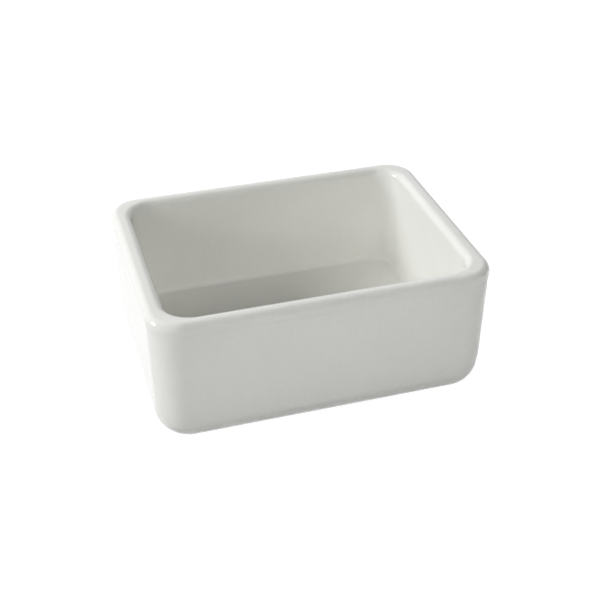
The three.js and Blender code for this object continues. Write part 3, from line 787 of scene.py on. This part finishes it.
def strainer_cup(waste, low, high):
    """Flanged cup with threads on its outside and on the nipple."""
    top = high.z
    flange = high.x
    thread = waste.thread_radius
    mouth = thread - waste.cup_wall
    ledge = mouth - waste.ledge_width
    foot = ledge - waste.cup_taper
    seat = top - waste.cup_depth
    throat = waste.throat_radius
    nipple_top = low.z + waste.nipple_length
    flange_under = top - waste.flange_thickness
    flange_edge = 0.0007
    flange_bevel = 0.004
    skirt_step = 0.0025
    seat_radius = 0.027
    seat_dish = 0.005
    section = rounded(
        [
            (throat, low.z, 0.0003),
            (waste.nipple_radius, low.z, 0.0006),
            (waste.nipple_radius, nipple_top, 0.0005),
            (foot, nipple_top + skirt_step, 0.003),
            (thread, nipple_top + 2 * skirt_step, 0.0012),
            (thread, flange_under, 0.0004),
            (flange, flange_under, 0.0003),
            (flange, flange_under + flange_edge, 0.0003),
            (flange - flange_bevel, top, 0.002),
            (mouth, top, 0.0026),
            (mouth, top - waste.ledge_depth, 0.0005),
            (ledge, top - waste.ledge_depth, 0.0006),
            (foot, seat + seat_dish, 0.004),
            (seat_radius, seat, 0.003),
            (throat, seat, 0.0012),
        ],
        6,
    )
    depth = waste.thread_depth
    pitch = waste.thread_pitch
    least_rise = 0.01
    steps_per_pitch = 8
    outline = []
    for (radius, z), (after, z_after) in zip(section, section[1:] + section[:1]):
        outline.append((radius, z))
        rise = z_after - z
        if abs(radius - after) < SAME and rise > least_rise and radius > throat + EDGE_BREAK:
            steps = round(rise / pitch * steps_per_pitch)
            outline += [(radius, height) for height in evenly(z, z_after, steps)[1:-1]]
    cut_cup = threaded(thread, depth, pitch, nipple_top + 0.006, flange_under - 0.003)
    cut_nipple = threaded(waste.nipple_radius, depth, pitch, low.z + 0.0008, nipple_top - 0.002)

    def swell(radius, height, angle):
        return cut_nipple(cut_cup(radius, height, angle), height, angle)

    return spun(outline, ROUND, swell)


def throat_cross(waste, top):
    """Cross with a bored hub that spans the throat."""
    bite = 0.0004
    reach = waste.throat_radius + bite
    foot = top - 0.0025
    half_arm = 0.0016
    hub = 0.0055
    bore = waste.guide_bore
    corners = [
        (bore, foot, 0.0003),
        (reach, foot, 0.0004),
        (reach, top, 0.0004),
        (bore, top, 0.0003),
    ]

    def swell(radius, height, angle):
        if radius < bore + EDGE_BREAK:
            return radius
        off_arm = abs((angle + QUARTER / 2) % QUARTER - QUARTER / 2)
        arm = half_arm / max(math.sin(off_arm), 1e-3)
        trim = reach - radius
        return min(radius, max(hub, arm) - trim)

    return spun(rounded(corners), 2 * ROUND, swell)


class SINK_OT_strainer(bpy.types.Operator):
    """Builds the strainer's flanged cup, the cross in its throat and the seal under its flange"""

    bl_idname = "sink.strainer"
    bl_label = "Strainer"

    def execute(self, context):
        waste = context.scene.sink_waste
        steel = spun_metal("spun_steel", waste.steel, 0.27)
        rubber = moulded("black_rubber", waste.rubber, 0.62, 2600.0, 0.00006)
        low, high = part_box("strainer_body")
        made = strainer_cup(waste, low, high)
        piece_from(made, "strainer_cup", "sink", steel, "strainer_body")
        seat = high.z - waste.cup_depth
        cross_drop = 0.007
        made = throat_cross(waste, seat - cross_drop)
        piece_from(made, "throat_cross", "sink", steel)
        bore = context.scene.sink_casting.outlet_radius + FIT
        flat_ring(bore, 0.0006, "flange_gasket", rubber, "flange_seal")
        return {"FINISHED"}


class SINK_OT_clamp(bpy.types.Operator):
    """Builds the washer, friction ring and lock nut under the sink"""

    bl_idname = "sink.clamp"
    bl_label = "Clamp"

    def execute(self, context):
        waste = context.scene.sink_waste
        bore = waste.thread_radius + FIT
        rubber = moulded("washer_rubber", waste.rubber, 0.66, 2200.0, 0.00008)
        fibre = moulded("red_fibre", waste.fibre, 0.82, 1300.0, 0.00012)
        brass = cast_brass(waste.brass)
        flat_ring(bore, 0.0007, "rubber_washer", rubber, "sink_washer")
        flat_ring(bore, 0.0002, "fibre_ring", fibre, "friction_ring")
        low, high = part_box("lock_nut")
        body = bore + 0.0075
        collar = bore + 0.0025
        collar_foot = bore + 0.0032
        ledge = low.z + 0.0012
        lugs = 8
        lug_share = 0.36
        corners = [
            (bore, low.z, 0.0006),
            (collar, low.z, 0.0004),
            (collar_foot, ledge, 0.0004),
            (body, ledge, 0.0008),
            (body, high.z, 0.0008),
            (bore, high.z, 0.0005),
        ]
        swell = lugged(bore, body, high.x - body, lugs, lug_share)
        turned(corners, "lugged_nut", "sink", brass, "lock_nut", 30 * lugs, swell)
        return {"FINISHED"}


class SINK_OT_tailpiece(bpy.types.Operator):
    """Builds the tailpiece, its washer and its slip nut"""

    bl_idname = "sink.tailpiece"
    bl_label = "Tailpiece"

    def execute(self, context):
        waste = context.scene.sink_waste
        chrome = plated("chrome_plate", waste.chrome, 0.1)
        polythene = moulded("milky_polythene", waste.polythene, 0.42, 900.0, 0.00004)
        tube = waste.tube_radius
        bore = tube - waste.tube_wall
        low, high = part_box("tailpiece")
        flange = high.x
        flange_under = high.z - 0.0015
        corners = [
            (bore, low.z, 0.0003),
            (tube, low.z, 0.0005),
            (tube, flange_under, 0.0008),
            (flange, flange_under, 0.0004),
            (flange, high.z, 0.0004),
            (bore, high.z, 0.0012),
        ]
        turned(corners, "tail_tube", "sink", chrome, "tailpiece")
        flat_ring(bore, 0.0004, "tail_washer", polythene, "tailpiece_washer")
        low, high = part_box("coupling_nut")
        thread = waste.nipple_radius + FIT
        body = thread + 0.003
        shoulder = body - 0.001
        hole = tube + FIT
        inner_ledge = low.z + 0.002
        lugs = 6
        lug_share = 0.3
        corners = [
            (hole, low.z, 0.0004),
            (shoulder, low.z, 0.0012),
            (body, low.z + 0.003, 0.001),
            (body, high.z - 0.0015, 0.0006),
            (shoulder, high.z, 0.0006),
            (thread, high.z, 0.0004),
            (thread, inner_ledge, 0.0003),
            (hole, inner_ledge, 0.0004),
        ]
        swell = lugged(thread, body, high.x - body, lugs, lug_share, flank=0.09)
        turned(corners, "slip_nut", "sink", chrome, "coupling_nut", 32 * lugs, swell)
        return {"FINISHED"}


# -------- basket


def flat_point(polar, bearing):
    """A point of the flat pattern from its polar radius and bearing."""
    return Vector((polar * math.cos(bearing), polar * math.sin(bearing)))


class BasketSheet:
    """The basket's sheet, developed flat: distance along its section is the polar radius."""

    base_rings = (0.014, 0.0205, 0.027)  # radii of the rings of holes in the base
    base_pitch = 0.0084  # least distance from hole to hole round a ring
    wall_rows = (0.0105, 0.019)  # heights of the rows of holes in the wall
    wall_holes = 18  # holes in each row
    around = 120  # points round the mesh
    grid_rows = 30  # rows of points from the post's hole to the rim

    def __init__(self, waste, low, high):
        self.hole = waste.hole_radius
        self.sides = waste.hole_sides
        half = waste.sheet / 2
        clearance = 0.0008
        lean = 0.0039
        wall_top = waste.thread_radius - waste.cup_wall - waste.ledge_width - clearance
        base = low.z + half
        rim = high.z - half
        self.section = self.open_section(
            [
                (waste.post_hole, base, 0.0),
                (wall_top - lean, base, 0.006),
                (wall_top - half, rim, 0.0014),
                (high.x - half, rim, 0.0),
            ]
        )
        self.lengths = [0.0]
        for here, after in zip(self.section, self.section[1:]):
            self.lengths.append(self.lengths[-1] + math.dist(here, after))
        self.start = self.section[0][0]
        self.holes = self.hole_places()

    @staticmethod
    def open_section(corners):
        """Points from the post's hole along the base, up the wall and out along the rim."""
        rim = corners[-1][1]
        far = rim + 1.0
        closing = [(corners[-1][0], far, 0.0), (corners[0][0], far, 0.0)]
        return [point for point in rounded(corners + closing, 6) if point[1] < (rim + far) / 2]

    def at(self, along):
        """Radius and height of the basket at a distance along its section."""
        index = 0
        while index < len(self.lengths) - 2 and self.lengths[index + 1] < along:
            index += 1
        span = self.lengths[index + 1] - self.lengths[index]
        share = (along - self.lengths[index]) / span
        r0, z0 = self.section[index]
        r1, z1 = self.section[index + 1]
        return r0 + (r1 - r0) * share, z0 + (z1 - z0) * share

    def place(self, point):
        """The point of the basket for a point of the flat pattern."""
        radius, height = self.at(point.length - self.start)
        return flat_point(radius, math.atan2(point.y, point.x)).to_3d() + Vector((0, 0, height))

    def hole_places(self):
        """Distance along the section and bearing of every hole, in rings and staggered rows."""
        places = []
        for ring, radius in enumerate(self.base_rings):
            count = math.floor(TURN * radius / self.base_pitch)
            places += [(radius - self.start, TURN * (hole + ring / 2) / count) for hole in range(count)]
        count = self.wall_holes
        for row, rise in enumerate(self.wall_rows):
            along = self.along_at_height(self.section[0][1] + rise)
            places += [(along, QUARTER + TURN * (hole + row / 2) / count) for hole in range(count)]
        return places

    def along_at_height(self, height):
        """Distance along the section where its wall passes a height."""
        for index, (_, z) in enumerate(self.section):
            if z >= height:
                z0 = self.section[index - 1][1]
                share = (height - z0) / (z - z0)
                return self.lengths[index - 1] + share * (self.lengths[index] - self.lengths[index - 1])
        raise ValueError("the basket's wall doesn't reach that height")

    def flat_hole(self, along, bearing):
        """A hole's outline in the flat pattern, stretched so that it folds up round."""
        radius = self.at(along)[0]
        points = []
        for side in range(self.sides):
            angle = TURN * side / self.sides
            swing = bearing + self.hole * math.sin(angle) / radius
            points.append(flat_point(self.start + along + self.hole * math.cos(angle), swing))
        return points

    def near_hole(self, along, bearing, reach):
        """Whether a point of the sheet lies within reach of the middle of a hole."""
        radius = self.at(min(along, self.lengths[-1]))[0]
        for hole_along, hole_bearing in self.holes:
            if abs(hole_along - along) < reach:
                swing = (bearing - hole_bearing + math.pi) % TURN - math.pi
                if math.hypot(hole_along - along, swing * radius) < reach:
                    return True
        return False

    def pierced(self, centre):
        """Whether a point of the flat pattern lies in a hole or inside the post's hole."""
        post_share = 0.999
        hole_share = 0.97
        if centre.length < self.start * post_share:
            return True
        bearing = math.atan2(centre.y, centre.x)
        return self.near_hole(centre.length - self.start, bearing, self.hole * hole_share)

    def build(self):
        """The pierced sheet as a surface, folded up into the basket."""
        points = []
        edges = []

        def add_loop(loop):
            first = len(points)
            points.extend(loop)
            edges.extend((first + i, first + (i + 1) % len(loop)) for i in range(len(loop)))

        bearings = [TURN * index / self.around for index in range(self.around)]
        for polar in (self.start, self.start + self.lengths[-1]):
            add_loop([flat_point(polar, bearing) for bearing in bearings])
        for along, bearing in self.holes:
            add_loop(self.flat_hole(along, bearing))
        clear_share = 1.35
        clear = self.hole * clear_share
        rows = evenly(0, self.lengths[-1], self.grid_rows)
        for along in sorted(set(self.lengths[1:-1]) | set(rows[1:-1])):
            for bearing in bearings:
                if not self.near_hole(along, bearing, clear):
                    points.append(flat_point(self.start + along, bearing))
        flat, _, faces, _, _, _ = geometry.delaunay_2d_cdt(points, edges, [], 0, NIL)
        made = bmesh.new()
        corners = [made.verts.new(self.place(point)) for point in flat]
        for face in faces:
            centre = sum((flat[i] for i in face), Vector((0, 0))) / len(face)
            if not self.pierced(centre):
                made.faces.new([corners[i] for i in face])
        loose = [vert for vert in made.verts if not vert.link_faces]
        bmesh.ops.delete(made, geom=loose, context="VERTS")
        return made


class SINK_OT_basket(bpy.types.Operator):
    """Builds the perforated lift-out basket and the grommet in its base"""

    bl_idname = "sink.basket"
    bl_label = "Basket"

    def execute(self, context):
        waste = context.scene.sink_waste
        steel = spun_metal("basket_steel", waste.steel, 0.22)
        rubber = moulded("grommet_rubber", waste.rubber, 0.6, 2600.0, 0.00005)
        low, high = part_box("basket_cup")
        sheet = BasketSheet(waste, low, high)
        piece = piece_from(sheet.build(), "lift_basket", "basket", steel, "basket_cup")
        solid = piece.modifiers.new("sheet_thickness", "SOLIDIFY")
        solid.thickness = waste.sheet
        solid.offset = 0.0
        piece.modifiers.move(1, 0)
        low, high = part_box("post_grommet")
        bore = waste.guide_bore
        flange = high.x
        groove = waste.post_hole - FIT
        groove_width = 0.0016
        groove_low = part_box("basket_cup")[0].z - FIT
        groove_high = groove_low + groove_width
        corners = [
            (bore, low.z, 0.0005),
            (flange, low.z, 0.0006),
            (flange, groove_low, 0.0003),
            (groove, groove_low, 0.0002),
            (groove, groove_high, 0.0002),
            (flange, groove_high, 0.0003),
            (flange - 0.0007, high.z, 0.0006),
            (bore, high.z, 0.0005),
        ]
        turned(corners, "base_grommet", "basket", rubber, "post_grommet", segments=64)
        return {"FINISHED"}


# -------- stopper, post and knob


def turned_post(steel, waste):
    """Turned post with a threaded foot and a shoulder on the plate."""
    low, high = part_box("stopper_post")
    stud = waste.stud_radius
    post = waste.post_radius
    collar = high.x
    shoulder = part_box("stopper_plate")[1].z + FIT
    collar_top = shoulder + 0.0015
    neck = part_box("post_knob")[0].z - FIT
    corners = [
        (0.0, low.z, 0.0),
        (stud, low.z, 0.0004),
        (stud, shoulder, 0.0001),
        (collar, shoulder, 0.0003),
        (collar, collar_top, 0.0005),
        (post, collar_top, 0.0006),
        (post, neck, 0.0003),
        (stud, neck, 0.0002),
        (stud, high.z, 0.0003),
        (0.0, high.z, 0.0),
    ]
    turned(corners, "turned_post", "stopper", steel, "stopper_post", segments=64)


def pull_knob(chrome, bore):
    """Turned knob: a slim neck that swells to a domed head."""
    low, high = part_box("post_knob")
    head = high.x
    top = high.z
    bore_top = low.z + 0.009
    foot = 0.0048
    neck = 0.0042
    shoulder = 0.0046
    corners = [
        (bore, low.z, 0.0002),
        (foot, low.z, 0.0006),
        (neck, low.z + 0.004, 0.006),
        (shoulder, top - 0.0088, 0.004),
        (head, top - 0.0056, 0.0014),
        (head, top - 0.0026, 0.0022),
        (head * 0.45, top - 0.0001, 0.006),
        (0.0, top, 0.0),
        (0.0, bore_top, 0.0),
        (bore, bore_top, 0.0002),
    ]
    turned(corners, "pull_knob", "stopper", chrome, "post_knob", steps=6)


class SINK_OT_stopper(bpy.types.Operator):
    """Builds the stopper's disc, plate and nut, the post and its knob"""

    bl_idname = "sink.stopper"
    bl_label = "Stopper"

    def execute(self, context):
        waste = context.scene.sink_waste
        steel = spun_metal("turned_steel", waste.steel, 0.24)
        chrome = plated("knob_chrome", waste.chrome, 0.08)
        rubber = moulded("stopper_rubber", waste.rubber, 0.55, 2400.0, 0.00005)
        brass = cast_brass(waste.brass)
        bore = waste.stud_radius + FIT
        low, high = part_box("stopper_disc")
        lip = high.x
        base = low.z + 0.0006
        corners = [
            (bore, base, 0.0003),
            (lip - 0.0045, base, 0.0006),
            (lip - 0.0035, low.z, 0.0005),
            (lip, low.z, 0.0004),
            (lip - 0.0008, low.z + 0.0016, 0.0008),
            (lip - 0.0032, high.z, 0.001),
            (bore, high.z, 0.0003),
        ]
        turned(corners, "sealing_disc", "stopper", rubber, "stopper_disc")
        low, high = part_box("stopper_plate")
        edge = high.x
        corners = [
            (bore, low.z, 0.0002),
            (edge, low.z, 0.0003),
            (edge, low.z + 0.0005, 0.0004),
            (edge - 0.001, high.z, 0.0008),
            (bore, high.z, 0.0002),
        ]
        turned(corners, "backing_plate", "stopper", steel, "stopper_plate")
        low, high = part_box("stopper_nut")
        corner = max(high.x, high.y)
        corners = [
            (bore, low.z, 0.0003),
            (corner - 0.0006, low.z, 0.0003),
            (corner, low.z + 0.0005, 0.0003),
            (corner, high.z - 0.0003, 0.0002),
            (corner - 0.0004, high.z, 0.0002),
            (bore, high.z, 0.0003),
        ]
        swell = polygonal(bore, 6)
        turned(corners, "disc_nut", "stopper", brass, "stopper_nut", swell=swell, steps=3)
        turned_post(steel, waste)
        pull_knob(chrome, bore)
        return {"FINISHED"}


# -------- stage

LAMP_DISTANCE = 5.0
LAMP_SIZE = 1.6
LAMP_AIM = 0.12  # height that the softboxes face
WASH_HEIGHT = 1.2
WASH_SPREAD = math.radians(20)


def bearing_to(azimuth, elevation):
    """Direction from the sink, its bearing measured from straight before the apron."""
    level = math.cos(elevation)
    return Vector((math.sin(azimuth) * level, -math.cos(azimuth) * level, math.sin(elevation)))


def add_floor(stage):
    """Pale floor with a round opening under the outlet, as a cabinet has."""
    opening = 0.08
    reach = 6.0
    level = -0.0006
    sides = 48
    made = bmesh.new()
    rungs = []
    for angle in evenly(0, TURN, sides)[:-1]:
        across = math.cos(angle)
        deep = math.sin(angle)
        far = reach / max(abs(across), abs(deep))
        rungs.append([made.verts.new((out * across, out * deep, level)) for out in (opening, far)])
    for (inner, outer), (next_inner, next_outer) in zip(rungs, rungs[1:] + rungs[:1]):
        made.faces.new((inner, outer, next_outer, next_inner))
    mesh = bpy.data.meshes.new("studio_floor")
    made.to_mesh(mesh)
    made.free()
    floor = linked("studio_floor", mesh)
    finish = Finish("floor_paper")
    seen = seen_rays(finish.tree)
    paper = finish.node("ShaderNodeBsdfDiffuse", sockets={"Color": rgba(stage.paper)})
    glow = finish.node("ShaderNodeEmission", sockets={"Strength": stage.floor_white})
    lit = finish.node("ShaderNodeMixShader", sockets={0: seen * stage.floor_lift, 1: paper, 2: glow})
    under = finish.node("ShaderNodeNewGeometry", output="Backfacing")
    clear = finish.node("ShaderNodeBsdfTransparent")
    both = finish.node("ShaderNodeMixShader", sockets={0: under, 1: lit, 2: clear})
    finish.node("ShaderNodeOutputMaterial", sockets={"Surface": both})
    mesh.materials.append(finish.material)


def add_surround(context, stage):
    """White all round as the camera and reflections see it, with a softer light from it."""
    world = bpy.data.worlds.new("white_surround")
    context.scene.world = world
    world.use_nodes = True
    tree = world.node_tree
    tree.nodes.clear()
    strength = seen_rays(tree) * (1 - stage.ambient) + stage.ambient
    sky = add_node(tree, "ShaderNodeBackground", sockets={"Color": (1, 1, 1, 1), "Strength": strength})
    add_node(tree, "ShaderNodeOutputWorld", sockets={"Surface": sky})


def add_lamp(name, size, power, place):
    """A square lamp that shines straight down until it is turned."""
    data = bpy.data.lights.new(name, "AREA")
    data.shape = "SQUARE"
    data.size = size
    data.energy = power
    lamp = linked(name, data)
    lamp.location = place
    return lamp


def softbox(name, bearing, height, power):
    """A lamp that faces the sink, on a bearing from the apron and a height angle, in degrees."""
    towards = bearing_to(math.radians(bearing), math.radians(height))
    lamp = add_lamp(name, LAMP_SIZE, power, Vector((0, 0, LAMP_AIM)) + towards * LAMP_DISTANCE)
    lamp.rotation_mode = "QUATERNION"
    lamp.rotation_quaternion = (-towards).to_track_quat("-Z", "Y")
    return lamp


def wash(name, x, y, power):
    """A narrow lamp over the floor, whose light reaches the sink from below."""
    lamp = add_lamp(name, LAMP_SIZE / 2, power, Vector((x, y, WASH_HEIGHT)))
    lamp.data.spread = WASH_SPREAD
    return lamp


def add_camera(context, stage):
    """Camera at the photograph's viewpoint."""
    data = bpy.data.cameras.new("photo_camera")
    data.sensor_fit = "HORIZONTAL"
    data.sensor_width = 36.0
    data.lens = stage.lens
    data.clip_start = 0.05
    data.clip_end = 50.0
    camera = linked("photo_camera", data)
    back = bearing_to(stage.azimuth, stage.elevation)
    right = (-back).cross(Vector((0, 0, 1))).normalized()
    level = Matrix((right, right.cross(-back), back)).transposed().to_4x4()
    place = Matrix.Translation(Vector(stage.target) + back * stage.distance)
    camera.matrix_world = place @ level @ Matrix.Rotation(stage.roll, 4, "Z")
    context.scene.camera = camera
    context.scene.view_settings.view_transform = "Standard"


class SINK_OT_stage(bpy.types.Operator):
    """Builds the floor, the lamps, the white surround and the camera"""

    bl_idname = "sink.stage"
    bl_label = "Studio stage"

    def execute(self, context):
        stage = context.scene.sink_stage
        add_floor(stage)
        add_surround(context, stage)
        key = softbox("key_softbox", -100, 24, stage.key_power)
        back = softbox("back_softbox", 180, 45, stage.back_power)
        key.data.color = stage.cool_tint
        back.data.color = stage.cool_tint
        fills = [
            back,
            softbox("front_softbox", 0, 35, stage.front_power),
            softbox("left_softbox", -60, 20, stage.left_power),
            softbox("right_softbox", 45, 25, stage.right_power),
            wash("front_wash", 0.0, -0.75, stage.front_wash_power),
            wash("side_wash", 1.2, -0.2, stage.side_wash_power),
        ]
        for fill in fills:
            fill.visible_glossy = False
        add_camera(context, stage)
        return {"FINISHED"}


# -------- panel and registration

STEPS = (
    SINK_OT_stage,
    SINK_OT_casting,
    SINK_OT_strainer,
    SINK_OT_clamp,
    SINK_OT_tailpiece,
    SINK_OT_basket,
    SINK_OT_stopper,
)


class SINK_PT_looks(bpy.types.Panel):
    """Lists the sink's pieces and its stage"""

    bl_label = "Farmhouse sink"
    bl_idname = "SINK_PT_looks"
    bl_space_type = "VIEW_3D"
    bl_region_type = "UI"
    bl_category = "Farmhouse sink"

    def draw(self, context):
        for step in STEPS:
            self.layout.operator(step.bl_idname)


CLASSES = (SinkCasting, SinkWaste, SinkStage, *STEPS, SINK_PT_looks)


def register():
    """Registers the classes and gives the scene its three groups of properties."""
    for each in CLASSES:
        bpy.utils.register_class(each)
    bpy.types.Scene.sink_casting = PointerProperty(type=SinkCasting)
    bpy.types.Scene.sink_waste = PointerProperty(type=SinkWaste)
    bpy.types.Scene.sink_stage = PointerProperty(type=SinkStage)


def unregister():
    """Takes back what register did."""
    del bpy.types.Scene.sink_casting
    del bpy.types.Scene.sink_waste
    del bpy.types.Scene.sink_stage
    for each in reversed(CLASSES):
        bpy.utils.unregister_class(each)


def main():
    """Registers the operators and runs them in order."""
    register()
    bpy.ops.sink.stage()
    bpy.ops.sink.casting()
    bpy.ops.sink.strainer()
    bpy.ops.sink.clamp()
    bpy.ops.sink.tailpiece()
    bpy.ops.sink.basket()
    bpy.ops.sink.stopper()


if __name__ == "__main__":
    main()
